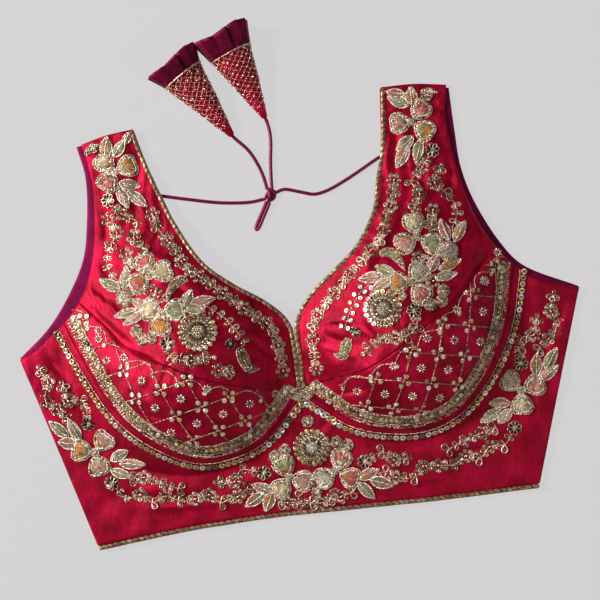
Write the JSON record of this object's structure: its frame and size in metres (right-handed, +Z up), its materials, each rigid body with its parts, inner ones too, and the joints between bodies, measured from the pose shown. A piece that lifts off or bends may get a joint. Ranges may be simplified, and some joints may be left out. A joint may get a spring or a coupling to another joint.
{
  "type": "choli blouse",
  "caption": "Sleeveless katori-cut choli blouse laid flat on its back, with moulded cups, gold zari embroidery, piped edges and tied back cords ending in tassels.",
  "frame": {"origin": "middle of the cloth's base where the blouse lies on a surface", "axes": "+X along the hem to the side shown on the right, +Y from the hem to the shoulders, +Z up from the surface"},
  "size_m": [0.4836, 0.4326, 0.0512],
  "materials": {
    "silk": "wine red raw silk with a soft satin sheen",
    "lining": "matt magenta lining",
    "gold_zari": "antique gold metal thread, sequins and braid",
    "dori": "dark wine satin cord",
    "latkan": "red silk netted with gold thread and sequins",
    "thread_pastel": "pastel silk thread filling of petals and leaves"
  },
  "bodies": {
    "root": {"back_panel": "silk", "front_band": "silk", "front_upper_left": "silk", "front_upper_right": "silk", "katori_left": "silk", "katori_right": "silk", "armhole_lining_left": "lining", "armhole_lining_right": "lining", "neck_piping_left": "gold_zari", "neck_piping_right": "gold_zari", "hem_piping_front": "gold_zari", "hem_piping_back": "gold_zari", "dori_left": "dori", "dori_right": "dori", "dori_tail_a": "dori", "dori_tail_b": "dori", "dori_knot": "dori", "dori_loop": "dori", "latkan_ruffle_a": "dori", "latkan_ruffle_b": "dori", "latkan_cone_a": "latkan", "latkan_cone_b": "latkan"}
  },
  "joints": []
}
